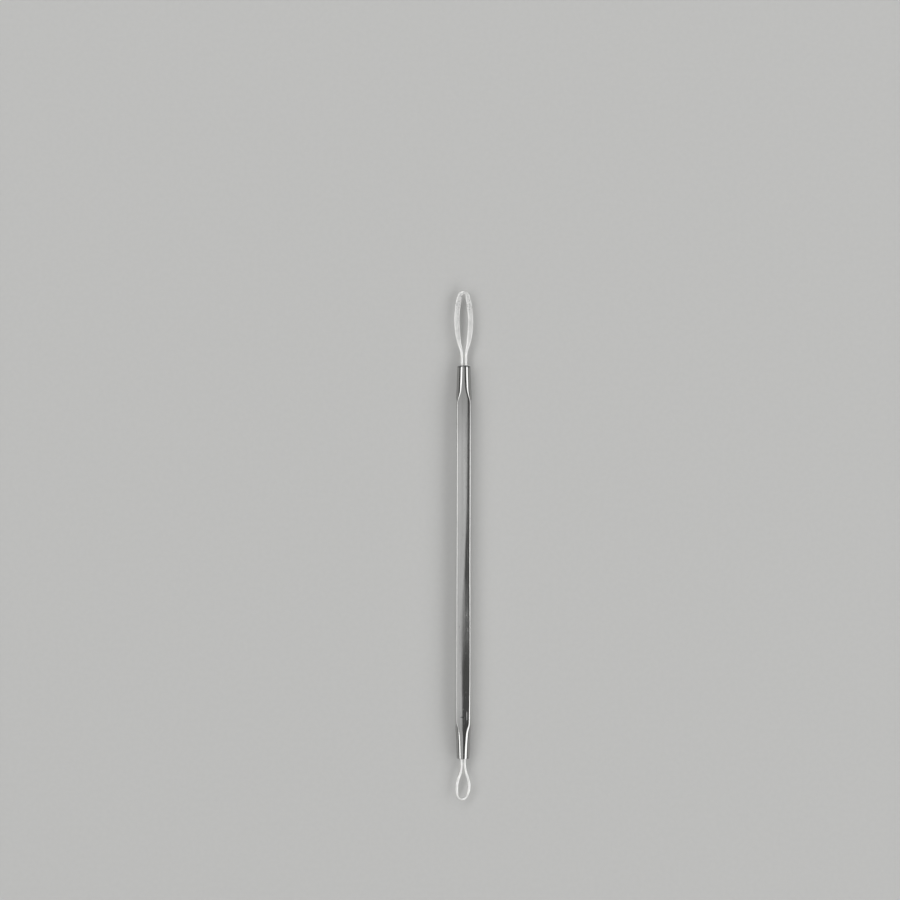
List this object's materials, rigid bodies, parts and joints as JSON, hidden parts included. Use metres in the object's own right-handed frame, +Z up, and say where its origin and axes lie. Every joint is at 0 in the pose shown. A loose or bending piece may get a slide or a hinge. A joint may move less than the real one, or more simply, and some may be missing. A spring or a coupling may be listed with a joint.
{
  "type": "blackhead extractor",
  "caption": "Double-ended steel skin tool: a squared bar whose round tapered ends hold a long flattened wire loop and a small teardrop wire loop.",
  "frame": {"origin": "on the surface that the tool lies on, below the middle of its length and width", "axes": "+Y along the tool from the small loop to the long loop, +Z up, square to the plane of both loops, +X to the right of +Y seen from above"},
  "size_m": [0.0044, 0.12, 0.0034],
  "materials": {
    "handle_steel": "satin stainless steel, ground along its length, polished at the tapers",
    "wire_steel": "tumbled stainless steel wire",
    "braze": "dull filler metal"
  },
  "bodies": {
    "root": {"handle": "handle_steel", "long_loop": "wire_steel", "small_loop": "wire_steel", "long_loop_braze": "braze", "small_loop_braze": "braze"}
  },
  "joints": []
}
